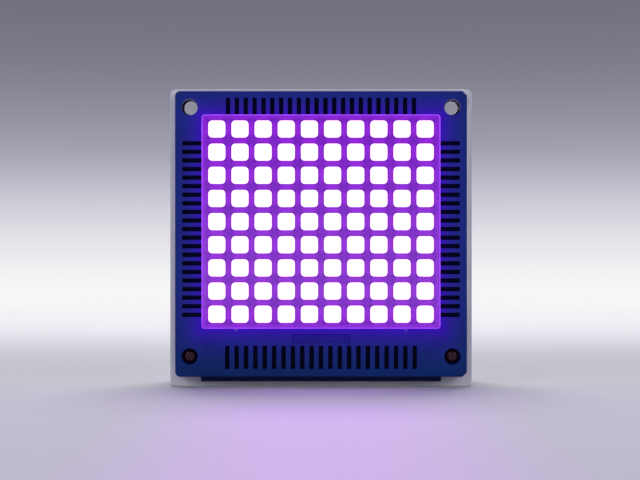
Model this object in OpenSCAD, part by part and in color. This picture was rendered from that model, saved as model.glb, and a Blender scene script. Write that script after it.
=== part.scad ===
// Lit LED dot matrix: ten by nine square dots behind a clear cover, in a
// moulded front housing that is screwed to a pale rear case.
// X runs across the display, Y from front to back, Z up. The module stands on
// the rear case, and the origin is at the middle of its bounding box, at the
// bottom. Depths named "..._at" are measured back from the housing's front face.

/* [Dot grid] */
// Dots in each row
columns = 10; // [6:1:12]
// Rows of dots
rows = 9; // [5:1:11]
// Distance from one dot to the next
dot_pitch = 7.62; // [7:0.02:9]
// Side of one square dot
dot_size = 5.7; // [5:0.1:6.2]
// Corner radius of a dot
dot_radius = 1.3; // [0.5:0.1:2]
// Depth of a dot's diffuser
dot_depth = 4; // [2:0.5:4.5]
// Side of the chamber behind a dot
chamber_size = 4.4; // [4:0.1:4.8]

/* [Cover] */
// Border of the cover beside the outer dots
cover_border_x = 2.11; // [1.9:0.01:4]
// Border of the cover above and below the outer dots
cover_border_z = 1.87; // [1.7:0.01:4]
// Thickness of the clear cover
cover_t = 2; // [1.5:0.1:3]
// How far the cover stands out from the housing
cover_proud = 0.8; // [0.4:0.1:1.2]
// Corner radius of the cover
cover_radius = 1; // [0.6:0.1:2]
// Bevel along the cover's front edge
cover_bevel = 0.4; // [0.2:0.1:0.5]
// Width of the seat under the cover's rim
cover_seat = 1; // [0.6:0.1:1.2]
// Distance of each tab from the middle of the cover's lower edge
tab_x = 27.8; // [10:0.1:28]
// Width of a tab
tab_w = 1.8; // [1:0.1:3]
// How far a tab reaches below the cover
tab_h = 1; // [0.5:0.1:1.4]

/* [Front housing] */
// Frame width left and right of the cover
frame_side = 8.75; // [8.2:0.05:14]
// Frame width above the cover
frame_top = 7.75; // [7.3:0.05:14]
// Frame width below the cover
frame_bottom = 15.85; // [15.5:0.05:24]
// Thickness of the front housing
housing_t = 5.5; // [5:0.1:6.5]
// Radius of its two left corners
housing_radius = 1.7; // [1:0.1:3]
// Chamfer on its two right corners
housing_chamfer = 1.5; // [1:0.1:3]
// Bevel around its front face
housing_bevel = 0.4; // [0.2:0.1:0.8]
// Half width of the ledge under the housing
ledge_half_w = 39.6; // [20:0.1:42]
// How far the ledge reaches below the housing
ledge_drop = 1.6; // [1:0.1:2.4]
// Depth at which the ledge begins
ledge_at = 2; // [1:0.1:4]

/* [Slots] */
// Width of every slot
slot_w = 1.45; // [1:0.05:1.8]
// Material left behind the slots
slot_floor = 1; // [0.6:0.1:2]
// Spacing of the slots above the cover
top_slot_pitch = 2.91; // [2.6:0.01:5]
// First slot above the cover, from the cover's corner
top_slot_inset = 8.7; // [6:0.05:14]
// Edge left outside the slots above the cover
top_slot_edge = 2.2; // [1.2:0.1:4]
// Spacing of the slots below the cover
bottom_slot_pitch = 3.08; // [2.6:0.01:5]
// First slot below the cover, from the cover's corner
bottom_slot_inset = 8.45; // [6:0.05:14]
// Edge left under the slots below the cover
bottom_slot_edge = 2.6; // [1.2:0.1:3.4]
// Length of the slots below the cover
bottom_slot_l = 7.6; // [4:0.1:7.8]
// Spacing of the slots beside the cover
side_slot_pitch = 2.82; // [2.6:0.01:5]
// Lowest slot beside the cover, from the cover's lower edge
side_slot_low = 4.55; // [3:0.05:12]
// Highest slot beside the cover, from the cover's upper edge
side_slot_high = 9.45; // [8.5:0.05:14]
// Edge left outside the slots beside the cover
side_slot_edge = 2.35; // [1.2:0.05:4]

/* [Face details] */
// Width of the shallow pocket under the cover
pocket_w = 19.3; // [10:0.1:30]
// Height of the shallow pocket
pocket_h = 3; // [1.5:0.1:3.4]
// Gap from the cover to the pocket
pocket_drop = 1.75; // [1.5:0.05:2]
// Depth of the pocket
pocket_depth = 1; // [0.4:0.1:2]
// Height of the raised marks
mark_raise = 0.3; // [0.2:0.1:0.6]
// Side of the raised corner triangle
triangle_side = 3; // [2:0.1:3.4]
// Triangle's distance in from the housing's side
triangle_inset = 9; // [8.6:0.1:9.5]
// Distance of the raised bars in from the housing's side
bars_inset = 9.9; // [9.6:0.1:10.5]
// Height of both marks above the housing's lower edge
marks_rise = 11.2; // [11:0.1:11.6]
// Length of a raised bar
bar_l = 2.6; // [1.5:0.1:2.8]
// Width of a raised bar
bar_w = 0.7; // [0.4:0.1:0.9]
// Spacing of the raised bars
bar_pitch = 1.6; // [1.3:0.1:1.8]

/* [Corner holes] */
// Holes in from the housing's sides
hole_side_inset = 4.8; // [4.4:0.1:5]
// Upper holes below the housing's top edge
hole_top_inset = 5.3; // [4.8:0.1:5.4]
// Lower holes above the housing's bottom edge
hole_bottom_inset = 6.7; // [5:0.1:8]
// Diameter of the holes in the front housing
front_hole_d = 5.4; // [5:0.1:6]
// Diameter of the two mounting holes through the rear case
mount_hole_d = 4.4; // [3.2:0.1:4.6]
// Diameter of the bosses in the rear case
boss_d = 9; // [8:0.1:9.2]
// Thickness of the case's ears at the mounting holes
ear_t = 6; // [5.5:0.1:10]
// Wall of the notches behind the ears
notch_wall = 2; // [1:0.1:2.2]

/* [Rear case] */
// Depth of the rear case
case_depth = 26.5; // [22:0.5:50]
// How far the case stands out beside the housing
case_side_margin = 2; // [1:0.1:5]
// How far the case stands out above the housing
case_top_margin = 1; // [0.5:0.1:5]
// How far the case stands out below the housing
case_bottom_margin = 3.4; // [2.6:0.1:6]
// How far the case's rim reaches in behind the housing
case_overlap = 1.5; // [1:0.1:2]
// Thickness of the case's back
case_back_t = 2.5; // [1.5:0.1:4]
// Corner radius of the case
case_radius = 2; // [1:0.1:4]
// Bevel around the case's back
case_bevel = 1.2; // [0.5:0.1:1.4]
// Width of the locating lip behind the housing
lip_t = 1.2; // [0.8:0.1:1.5]
// Depth of the locating lip
lip_depth = 2; // [1:0.1:2.5]
// Vent slots in the back
vent_count = 9; // [3:1:11]
// Spacing of the vent slots
vent_pitch = 6; // [4.5:0.1:7]
// Width of a vent slot
vent_w = 2.4; // [1:0.1:3.4]
// Length of a vent slot
vent_l = 26; // [10:1:30]
// Gap from the top of the case to the vent slots
vent_drop = 14; // [10:1:20]

/* [Circuit board] */
// Thickness of the circuit board
board_t = 1.6; // [1:0.1:2]
// Board left and right of the reflector
board_margin_x = 0.1; // [0:0.05:0.3]
// Board above and below the reflector
board_margin_z = 4.9; // [4.7:0.1:5]
// Depth of the reflector block
reflector_t = 7; // [6.5:0.1:8]
// Board screws in from the board's sides
board_screw_x = 3.75; // [3:0.05:4.5]
// Board screws beyond the reflector
board_screw_z = 2.6; // [2.5:0.05:2.7]
// Diameter of the posts under the board screws
post_d = 4.6; // [4:0.1:4.6]
// Length of an LED package
led_l = 3.5; // [2.8:0.1:3.8]
// Width of an LED package
led_w = 2.8; // [2:0.1:3.4]
// Height of an LED package
led_h = 1.9; // [1:0.1:2]
// Diameter of the cup in an LED package
led_cup_d = 2.3; // [1.4:0.1:2.4]
// Depth of the cup in an LED package
led_cup_depth = 0.8; // [0.3:0.1:0.9]

/* [Connector] */
// Contacts in each of the two rows
contacts = 5; // [3:1:8]
// Spacing of the contacts
contact_pitch = 2.54; // [2:0.01:2.54]
// Side of a contact pin
pin_w = 0.64; // [0.4:0.02:0.7]
// Height of the contact pins over the board
pin_h = 7.5; // [5:0.1:8]
// Height of the shroud over the board
shroud_h = 9; // [8.5:0.1:10]
// Thickness of the shroud's walls
shroud_t = 1.2; // [0.8:0.1:1.5]
// Room in the shroud beyond its outer contacts
shroud_room_x = 3.6; // [2.5:0.1:4]
// Room in the shroud beside its contact rows
shroud_room_z = 1.9; // [1.5:0.1:2.2]
// Thickness of the shroud's floor
shroud_floor = 2; // [1:0.1:2.5]
// Width of the key slot in the shroud
key_w = 4; // [2:0.1:5]
// Height of the connector above the board's lower edge
connector_rise = 12; // [11:0.5:16]
// Room around the shroud in the case's bay
bay_room = 2.2; // [1:0.1:3]
// Wall of the bay
bay_wall = 1.5; // [1:0.1:2]

/* [Chips and small parts] */
// Length of a column driver chip
driver_l = 15.4; // [15:0.1:16]
// Length of the row driver chip
row_driver_l = 12.8; // [12.4:0.1:14]
// Width of a chip body
chip_w = 7.5; // [6:0.1:8]
// Height of a chip body
chip_h = 2.4; // [1.5:0.1:3]
// Leads on each side of a column driver
driver_leads = 12; // [8:1:12]
// Leads on each side of the row driver
row_driver_leads = 10; // [6:1:10]
// Spacing of the chip leads
lead_pitch = 1.27; // [0.8:0.01:1.27]
// Width of a chip lead
lead_w = 0.42; // [0.3:0.02:0.5]
// Thickness of a chip lead
lead_t = 0.25; // [0.2:0.01:0.4]
// How far a lead reaches out from the body
lead_reach = 1.4; // [1:0.1:1.8]
// Column drivers left and right of the middle
driver_x = 17; // [14:0.5:20]
// Height of the column drivers above the connector
driver_rise = 36; // [30:1:40]
// Height of the row driver above the connector
row_driver_rise = 20; // [16:1:22]
// Diameter of the electrolytic capacitor
can_d = 8; // [5:0.1:10]
// Height of the electrolytic capacitor
can_h = 10; // [6:0.5:14]
// Electrolytic capacitor in from the board's right edge
can_inset = 14.25; // [10:0.25:18]
// Number of resistors
resistor_count = 10; // [4:1:12]
// Spacing of the resistors
resistor_pitch = 5; // [3:0.5:5.5]
// Length of a resistor or ceramic capacitor
chip_part_l = 3.2; // [2:0.1:3.4]
// Width of a resistor or ceramic capacitor
chip_part_w = 1.6; // [1:0.1:1.8]
// Height of a resistor
resistor_h = 0.6; // [0.4:0.1:1]
// Height of a ceramic capacitor
ceramic_h = 1.1; // [0.6:0.1:1.5]

/* [Screws] */
// Shank diameter of the two fixing screws
fixing_d = 2.9; // [2.5:0.1:3.2]
// Length of a fixing screw's shank
fixing_l = 14; // [8:0.5:16]
// Head diameter of a fixing screw
fixing_head_d = 4.3; // [4:0.1:4.6]
// Head height of a fixing screw
fixing_head_h = 1.5; // [1:0.1:1.8]
// Depth at which the heads of the fixing screws seat
fixing_seat_at = 3; // [2.4:0.1:3.4]
// Shank diameter of a board screw
board_screw_d = 2; // [1.6:0.1:2.2]
// Length of a board screw's shank
board_screw_l = 5; // [4:0.5:5]
// Head diameter of a board screw
board_head_d = 3.8; // [3.4:0.1:4]
// Head height of a board screw
board_head_h = 1.3; // [0.8:0.1:1.5]
// Width of the cross recess in a screw head
cross_w = 0.6; // [0.4:0.1:0.8]

/* [Clearances] */
// Gap around the cover in its seat, and around the reflector
fit_gap = 0.1; // [0.05:0.05:0.3]
// Gap between a dot and its well
dot_gap = 0.05; // [0.02:0.01:0.1]
// Gap around a screw's shank where it threads in
thread_gap = 0.05; // [0.02:0.01:0.1]
// Gap around a shank in a clearance hole
free_gap = 0.3; // [0.2:0.05:0.4]
// Gap between the locating lip and the case
lip_gap = 0.2; // [0.1:0.05:0.3]
// Gap around a contact pin in the board
pin_gap = 0.1; // [0.05:0.01:0.15]

/* [Hidden] */
$fn = 48;
// How far a cut passes the face that it opens
cut = 0.5;
// How far a boss or wall runs into the piece that it grows from
weld = 0.5;
// How far the notch walls run forward into the ears
notch_overlap = 1.5;
// Depth left under the tip of a fixing screw
tip_room = 1;
dot_steps = 3;
outline_steps = 6;
bar_angle = 40;
bar_count = 3;

// Grid, cover and reflector
grid_w = (columns - 1) * dot_pitch + dot_size;
grid_h = (rows - 1) * dot_pitch + dot_size;
cover_w = grid_w + 2 * cover_border_x;
cover_h = grid_h + 2 * cover_border_z;
opening_w = cover_w - 2 * cover_seat;
opening_h = cover_h - 2 * cover_seat;
reflector_w = opening_w - 2 * fit_gap;
reflector_h = opening_h - 2 * fit_gap;

// Heights
housing_bottom = case_bottom_margin;
cover_bottom = housing_bottom + frame_bottom;
cover_top = cover_bottom + cover_h;
cover_mid = cover_bottom + cover_h / 2;
housing_top = cover_top + frame_top;
case_h = housing_top + case_top_margin;
upper_hole_z = housing_top - hole_top_inset;
lower_hole_z = housing_bottom + hole_bottom_inset;

// Widths
housing_w = cover_w + 2 * frame_side;
case_w = housing_w + 2 * case_side_margin;
hole_x = housing_w / 2 - hole_side_inset;

// Depths
seat_at = cover_t - cover_proud;
well_floor_at = seat_at + dot_depth;
board_at = seat_at + reflector_t;
board_back_at = board_at + board_t;
case_back_at = housing_t + case_depth;
middle_at = (case_back_at - cover_proud) / 2;

// Circuit board and what stands on it
board_w = reflector_w + 2 * board_margin_x;
board_h = reflector_h + 2 * board_margin_z;
board_bottom = cover_mid - board_h / 2;
screw_x = board_w / 2 - board_screw_x;
screw_z = [cover_mid - reflector_h / 2 - board_screw_z,
           cover_mid + reflector_h / 2 + board_screw_z];
connector_z = board_bottom + connector_rise;
resistor_z = connector_z + (row_driver_rise + driver_rise) / 2;
ceramic_z = connector_z + row_driver_rise / 2;
ceramic_x = [-24, -18, 14];

// Connector and its bay in the case
shroud_in_w = (contacts - 1) * contact_pitch + 2 * shroud_room_x;
shroud_in_h = contact_pitch + 2 * shroud_room_z;
shroud_w = shroud_in_w + 2 * shroud_t;
shroud_z_size = shroud_in_h + 2 * shroud_t;
bay_w = shroud_w + 2 * bay_room;
bay_h = shroud_z_size + 2 * bay_room;

// Inside of the rear case
cavity_w = housing_w - 2 * case_overlap;
cavity_bottom = housing_bottom + case_overlap;
cavity_top = housing_top - case_overlap;
corner_reach_x = cavity_w / 2 - hole_x;
vent_top = case_h - vent_drop;

// ---------- shared shapes ----------

function arc(center, radius, from, steps = outline_steps) =
    [for (i = [0:steps]) let (a = from + 90 * i / steps)
        center + radius * [cos(a), sin(a)]];

// Points of a box with four round corners, centred on the origin
function round_box(w, h, r, steps = outline_steps) = concat(
    arc([w / 2 - r, h / 2 - r], r, 0, steps),
    arc([r - w / 2, h / 2 - r], r, 90, steps),
    arc([r - w / 2, r - h / 2], r, 180, steps),
    arc([w / 2 - r, r - h / 2], r, 270, steps));

// From a corner hole up or down to the inside of the case
function corner_reach_z(end) =
    end > 0 ? cavity_top - upper_hole_z : lower_hole_z - cavity_bottom;

function dot_x(column) = (column - (columns + 1) / 2) * dot_pitch;
function dot_z(row) = cover_mid + ((rows + 1) / 2 - row) * dot_pitch;

// Centres of slots that fill a stretch evenly
function slot_centers(from, to, pitch) =
    let (gaps = floor((to - from) / pitch + 0.5))
    [for (i = [0:gaps]) (from + to) / 2 + (i - gaps / 2) * pitch];

// Extrudes a face drawn in X and Z from one depth to another
module slab(from, to) {
    translate([0, to - middle_at, 0]) rotate([90, 0, 0])
        linear_extrude(to - from) children();
}

// Round bar along Y, or the tool that drills a hole there
module bar_along(x, z, d, from, to) {
    translate([x, to - middle_at, z]) rotate([90, 0, 0])
        cylinder(h = to - from, d = d);
}

// Places children at a depth, with their Z pointing out of the front
module facing_front(x, z, at) {
    translate([x, at - middle_at, z]) rotate([90, 0, 0]) children();
}

// Places children at a depth, with their Z pointing out of the back
module facing_back(x, z, at) {
    translate([x, at - middle_at, z]) rotate([-90, 0, 0]) children();
}

// Places a face at a corner hole, with X and Z pointing out to that corner
module toward_corner(side, end) {
    translate([side * hole_x, end > 0 ? upper_hole_z : lower_hole_z])
        rotate(end > 0 ? 0 : 180) mirror([side * end > 0 ? 0 : 1, 0]) children();
}

module at_columns(row) {
    for (column = [1:columns]) translate([dot_x(column), dot_z(row)]) children();
}

module cross_recess(length, depth) {
    for (turn = [0, 90]) rotate(turn)
        translate([0, 0, cut / 2 - depth / 2])
            cube([length, cross_w, depth + cut], center = true);
}

// Pan-head screw: seat at Z = 0, head above it and shank below
module pan_screw(shank_d, shank_l, head_d, head_h) {
    rim = head_h * 0.35;
    tip = shank_d / 4;
    difference() {
        rotate_extrude() polygon([
            [0, -shank_l], [shank_d / 2 - tip, -shank_l], [shank_d / 2, tip - shank_l],
            [shank_d / 2, 0], [head_d / 2, 0], [head_d / 2, rim],
            [head_d * 0.44, head_h * 0.75], [head_d * 0.28, head_h], [0, head_h]]);
        translate([0, 0, head_h]) cross_recess(head_d * 0.56, head_h * 0.55);
    }
}

// ---------- front housing ----------

function housing_outline(inset) =
    let (side = housing_w / 2 - inset, low = housing_bottom + inset,
         high = housing_top - inset, chamfer = housing_chamfer - inset / 2,
         radius = housing_radius - inset / 2)
    concat([[side - chamfer, low], [side, low + chamfer],
            [side, high - chamfer], [side - chamfer, high]],
           arc([radius - side, high - radius], radius, 90),
           arc([radius - side, low + radius], radius, 180));

module slot_row_top() {
    for (x = slot_centers(top_slot_inset - cover_w / 2, cover_w / 2 - top_slot_inset,
                          top_slot_pitch))
        translate([x - slot_w / 2, cover_top])
            square([slot_w, frame_top - top_slot_edge]);
}

module slot_row_bottom() {
    for (x = slot_centers(bottom_slot_inset - cover_w / 2,
                          cover_w / 2 - bottom_slot_inset, bottom_slot_pitch))
        translate([x - slot_w / 2, housing_bottom + bottom_slot_edge])
            square([slot_w, bottom_slot_l]);
}

module slot_rows_side() {
    for (side = [-1, 1], z = slot_centers(cover_bottom + side_slot_low,
                                          cover_top - side_slot_high, side_slot_pitch))
        translate([side * (cover_w / 2 + (frame_side - side_slot_edge) / 2), z])
            square([frame_side - side_slot_edge, slot_w], center = true);
}

// The cover's outline with its two tabs, grown by a gap
module cover_outline(gap, inset = 0) {
    translate([0, cover_mid])
        polygon(round_box(cover_w + 2 * gap - 2 * inset, cover_h + 2 * gap - 2 * inset,
                          cover_radius + gap - inset));
}

module cover_tabs(gap) {
    for (side = [-1, 1])
        translate([side * tab_x, cover_bottom])
            polygon([[-tab_w / 2 - gap, weld], [-tab_w / 2 - gap, -gap],
                     [0, -tab_h - gap], [tab_w / 2 + gap, -gap],
                     [tab_w / 2 + gap, weld]]);
}

module raised_marks() {
    marks_z = housing_bottom + marks_rise;
    slab(-mark_raise, weld) {
        translate([housing_w / 2 - triangle_inset, marks_z])
            circle(d = triangle_side * 2 / sqrt(3), $fn = 3);
        translate([bars_inset - housing_w / 2, marks_z]) rotate(-bar_angle)
            for (i = [0:bar_count - 1])
                translate([(i - (bar_count - 1) / 2) * bar_pitch, 0])
                    square([bar_w, bar_l], center = true);
    }
}

// Ring that drops into the rear case and keeps the two shells in line
module locating_lip() {
    outer_w = cavity_w - 2 * lip_gap;
    outer_h = cavity_top - cavity_bottom - 2 * lip_gap;
    boss_reach = boss_d / 2 + lip_gap;
    slab(housing_t - weld, housing_t + lip_depth) difference() {
        translate([0, (cavity_top + cavity_bottom) / 2]) difference() {
            square([outer_w, outer_h], center = true);
            square([outer_w - 2 * lip_t, outer_h - 2 * lip_t], center = true);
        }
        for (side = [-1, 1], end = [-1, 1]) toward_corner(side, end)
            translate([-boss_reach, -boss_reach])
                square([boss_reach + corner_reach_x, boss_reach + corner_reach_z(end)]);
    }
}

module front_housing() {
    color("midnightblue") difference() {
        union() {
            hull() {
                slab(0, housing_bevel) polygon(housing_outline(housing_bevel));
                slab(housing_bevel, housing_t) polygon(housing_outline(0));
            }
            slab(ledge_at, housing_t)
                translate([-ledge_half_w, housing_bottom - ledge_drop])
                    square([2 * ledge_half_w, ledge_drop + weld]);
            for (side = [-1, 1], z = screw_z)
                bar_along(side * screw_x, z, post_d, housing_t - weld, board_at);
            locating_lip();
            raised_marks();
        }
        slab(-cut, seat_at) {
            cover_outline(fit_gap);
            cover_tabs(fit_gap);
        }
        slab(-cut, housing_t + cut)
            translate([-opening_w / 2, cover_mid - opening_h / 2])
                square([opening_w, opening_h]);
        slab(-cut, housing_t - slot_floor) {
            slot_row_top();
            slot_row_bottom();
            slot_rows_side();
        }
        slab(-cut, pocket_depth)
            translate([-pocket_w / 2, cover_bottom - pocket_drop - pocket_h])
                square([pocket_w, pocket_h]);
        for (side = [-1, 1]) {
            bar_along(side * hole_x, upper_hole_z, front_hole_d, -cut, housing_t + cut);
            bar_along(side * hole_x, lower_hole_z, front_hole_d, -cut, fixing_seat_at);
            bar_along(side * hole_x, lower_hole_z, fixing_d + 2 * free_gap,
                      -cut, housing_t + cut);
            for (z = screw_z)
                bar_along(side * screw_x, z, board_screw_d + 2 * thread_gap,
                          board_back_at - board_screw_l - cut, board_at + cut);
        }
    }
}

// ---------- cover, reflector and dots ----------

module cover_lens() {
    color("plum", 0.4) union() {
        hull() {
            slab(-cover_proud, cover_bevel - cover_proud)
                cover_outline(0, cover_bevel);
            slab(cover_bevel - cover_proud, seat_at) cover_outline(0);
        }
        slab(0, seat_at) cover_tabs(0);
    }
}

module reflector() {
    color("mediumorchid") difference() {
        slab(seat_at, board_at)
            translate([-reflector_w / 2, cover_mid - reflector_h / 2])
                square([reflector_w, reflector_h]);
        slab(seat_at - cut, well_floor_at)
            for (row = [1:rows]) at_columns(row)
                polygon(round_box(dot_size, dot_size, dot_radius, dot_steps));
        slab(well_floor_at - cut, board_at + cut)
            for (row = [1:rows]) at_columns(row)
                square(chamber_size, center = true);
    }
}

module dot_row(row) {
    side = dot_size - 2 * dot_gap;
    color("white") slab(seat_at, well_floor_at) at_columns(row)
        polygon(round_box(side, side, dot_radius - dot_gap, dot_steps));
}

module led() {
    difference() {
        translate([-led_l / 2, -led_w / 2, 0]) cube([led_l, led_w, led_h]);
        translate([0, 0, led_h - led_cup_depth])
            cylinder(h = led_cup_depth + cut, d = led_cup_d);
    }
}

module led_row(row) {
    color("ivory") for (column = [1:columns])
        facing_front(dot_x(column), dot_z(row), board_at) led();
}

// ---------- circuit board and its parts ----------

module at_contacts() {
    for (i = [0:contacts - 1], side = [-1, 1])
        translate([(i - (contacts - 1) / 2) * contact_pitch, side * contact_pitch / 2])
            children();
}

module circuit_board() {
    color("darkgreen") difference() {
        slab(board_at, board_back_at)
            translate([-board_w / 2, board_bottom]) square([board_w, board_h]);
        for (side = [-1, 1], z = screw_z)
            bar_along(side * screw_x, z, board_screw_d + 2 * free_gap,
                      board_at - cut, board_back_at + cut);
        facing_back(0, connector_z, board_at) at_contacts()
            translate([0, 0, -cut])
                cylinder(h = board_t + 2 * cut, d = pin_w * sqrt(2) + 2 * pin_gap);
    }
}

// Side view of one gull-wing lead, foot on the board
function lead_profile() =
    let (knee = chip_w / 2 + lead_reach * 0.45, toe = chip_w / 2 + lead_reach,
         level = chip_h * 0.5)
    [[chip_w / 2 - weld, level], [knee, level], [knee, lead_t], [toe, lead_t],
     [toe, 0], [knee - lead_t, 0], [knee - lead_t, level - lead_t],
     [chip_w / 2 - weld, level - lead_t]];

// Small-outline chip lying along X, with its leads' feet at Z = 0
module chip(body_l, leads) {
    stand = 0.1;
    union() {
        translate([-body_l / 2, -chip_w / 2, stand]) cube([body_l, chip_w, chip_h]);
        for (i = [0:leads - 1], turn = [0, 180])
            rotate(turn)
                translate([(i - (leads - 1) / 2) * lead_pitch + lead_w / 2, 0, 0])
                    rotate([90, 0, -90]) mirror([1, 0, 0])
                        linear_extrude(lead_w) polygon(lead_profile());
    }
}

module column_driver(side) {
    color("dimgray")
        facing_back(side * driver_x, connector_z + driver_rise, board_back_at)
            chip(driver_l, driver_leads);
}

module row_driver() {
    color("dimgray") facing_back(0, connector_z + row_driver_rise, board_back_at)
        chip(row_driver_l, row_driver_leads);
}

module resistors() {
    color("black") for (i = [0:resistor_count - 1])
        facing_back((i - (resistor_count - 1) / 2) * resistor_pitch, resistor_z,
                    board_back_at)
            translate([-chip_part_w / 2, -chip_part_l / 2, 0])
                cube([chip_part_w, chip_part_l, resistor_h]);
}

module ceramic_capacitors() {
    color("tan") for (x = ceramic_x)
        facing_back(x, ceramic_z, board_back_at)
            translate([-chip_part_w / 2, -chip_part_l / 2, 0])
                cube([chip_part_w, chip_part_l, ceramic_h]);
}

module electrolytic_capacitor() {
    base_h = 1.2;
    groove_h = 0.8;
    color("silver") facing_back(board_w / 2 - can_inset, connector_z, board_back_at) union() {
        translate([-can_d / 2, -can_d / 2, 0]) cube([can_d, can_d, base_h]);
        rotate_extrude() polygon([
            [0, 0], [can_d / 2, 0], [can_d / 2, 2 * base_h],
            [can_d / 2 - 0.4, 2 * base_h + groove_h / 2],
            [can_d / 2, 2 * base_h + groove_h],
            [can_d / 2, can_h - 0.5], [can_d / 2 - 0.5, can_h], [0, can_h]]);
    }
}

module connector_shroud() {
    color("black") facing_back(0, connector_z, board_back_at) difference() {
        translate([-shroud_w / 2, -shroud_z_size / 2, 0])
            cube([shroud_w, shroud_z_size, shroud_h]);
        translate([-shroud_in_w / 2, -shroud_in_h / 2, shroud_floor])
            cube([shroud_in_w, shroud_in_h, shroud_h]);
        translate([-key_w / 2, 0, shroud_floor])
            cube([key_w, shroud_z_size, shroud_h]);
        at_contacts() translate([0, 0, shroud_floor / 2])
            cube([pin_w, pin_w, shroud_floor + cut], center = true);
    }
}

module connector_pins() {
    color("gold") facing_back(0, connector_z, board_at) at_contacts()
        translate([-pin_w / 2, -pin_w / 2, 0])
            cube([pin_w, pin_w, board_t + pin_h]);
}

// ---------- screws ----------

module board_screws() {
    color("silver") for (side = [-1, 1], z = screw_z)
        facing_back(side * screw_x, z, board_back_at)
            pan_screw(board_screw_d, board_screw_l, board_head_d, board_head_h);
}

module fixing_screws() {
    color("maroon") for (side = [-1, 1])
        facing_front(side * hole_x, lower_hole_z, fixing_seat_at)
            pan_screw(fixing_d, fixing_l, fixing_head_d, fixing_head_h);
}

// ---------- rear case ----------

module case_outline(inset) {
    translate([0, case_h / 2])
        polygon(round_box(case_w - 2 * inset, case_h - 2 * inset,
                          case_radius - inset / 2));
}

// Boss with two blocks that tie it to the corner of the case
module corner_boss(side, end) {
    toward_corner(side, end) {
        circle(d = boss_d);
        translate([-boss_d / 2, 0])
            square([boss_d / 2 + corner_reach_x + weld, corner_reach_z(end) + weld]);
        translate([0, -boss_d / 2])
            square([corner_reach_x + weld, boss_d / 2 + corner_reach_z(end) + weld]);
    }
}

// Square from inside an upper corner hole out past the cavity's corner
module notch_square(inner, outer) {
    for (side = [-1, 1]) toward_corner(side, 1)
        translate([-inner, -inner])
            square([inner + corner_reach_x + outer, inner + corner_reach_z(1) + outer]);
}

module rear_case() {
    inside_back_at = case_back_at - case_back_t;
    bay_front_at = board_back_at + weld;
    notch_at = housing_t + ear_t;
    notch_reach = case_w;
    color("lavender") difference() {
        union() {
            difference() {
                hull() {
                    slab(housing_t, case_back_at - case_bevel) case_outline(0);
                    slab(case_back_at - case_bevel, case_back_at)
                        case_outline(case_bevel);
                }
                slab(housing_t - cut, inside_back_at)
                    translate([-cavity_w / 2, cavity_bottom])
                        square([cavity_w, cavity_top - cavity_bottom]);
                for (i = [0:vent_count - 1])
                    slab(housing_t, case_back_at + cut)
                        translate([(i - (vent_count - 1) / 2) * vent_pitch - vent_w / 2,
                                   vent_top - vent_l])
                            square([vent_w, vent_l]);
            }
            for (side = [-1, 1]) {
                slab(housing_t, inside_back_at + weld) corner_boss(side, -1);
                slab(housing_t, notch_at) corner_boss(side, 1);
            }
            slab(notch_at - notch_overlap, inside_back_at + weld)
                notch_square(boss_d / 2 + notch_wall, weld);
            slab(bay_front_at, inside_back_at + weld)
                translate([0, connector_z])
                    square([bay_w + 2 * bay_wall, bay_h + 2 * bay_wall], center = true);
        }
        slab(notch_at, case_back_at + cut) notch_square(boss_d / 2, notch_reach);
        slab(bay_front_at - cut, case_back_at + cut)
            translate([0, connector_z]) square([bay_w, bay_h], center = true);
        for (side = [-1, 1]) {
            bar_along(side * hole_x, upper_hole_z, mount_hole_d,
                      housing_t - cut, notch_at + cut);
            bar_along(side * hole_x, lower_hole_z, fixing_d + 2 * thread_gap,
                      housing_t - cut, fixing_seat_at + fixing_l + tip_room);
        }
    }
}

// ---------- assembly ----------

front_housing();
cover_lens();
reflector();
for (row = [1:rows])
    dot_row(row);
for (row = [1:rows])
    led_row(row);
circuit_board();
column_driver(-1);  // column_driver_left
column_driver(1);  // column_driver_right
row_driver();
resistors();
ceramic_capacitors();
electrolytic_capacitor();
connector_shroud();
connector_pins();
board_screws();
fixing_screws();
rear_case();
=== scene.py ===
# %% [markdown]
# # A lit LED dot matrix
# The module is a moulded blue frame with slots along all four sides. A clear cover
# sits in the frame, over ninety square dots that shine violet-white through a
# light-tight reflector. A pale rear case carries the frame, and the module stands on
# it. We load the exact solids first, so that every new piece lands where its solid is.

# %% Load the frame
import math

import bpy
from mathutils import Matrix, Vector


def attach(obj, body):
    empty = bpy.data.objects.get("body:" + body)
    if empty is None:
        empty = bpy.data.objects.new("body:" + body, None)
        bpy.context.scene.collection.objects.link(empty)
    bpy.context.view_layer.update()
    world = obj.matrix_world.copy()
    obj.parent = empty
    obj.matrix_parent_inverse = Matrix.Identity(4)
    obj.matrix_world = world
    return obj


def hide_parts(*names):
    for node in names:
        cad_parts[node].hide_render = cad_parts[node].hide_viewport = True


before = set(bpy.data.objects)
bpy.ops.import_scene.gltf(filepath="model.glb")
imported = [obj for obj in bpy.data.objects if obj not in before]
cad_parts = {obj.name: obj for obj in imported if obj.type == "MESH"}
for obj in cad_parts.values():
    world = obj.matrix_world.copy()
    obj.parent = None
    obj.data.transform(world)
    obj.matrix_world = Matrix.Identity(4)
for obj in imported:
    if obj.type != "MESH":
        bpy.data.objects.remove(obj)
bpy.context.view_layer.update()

print("CAD nodes:", len(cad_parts))

# %% [markdown]
# ## Measures
# All lengths below are in millimetres, and a depth is measured back from the blue
# face, as a maker would with a calliper. Named values that describe the real object
# keep the code readable, and one helper turns them into metres. The alternative,
# typing metres in every call, hides which numbers belong together.

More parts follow.
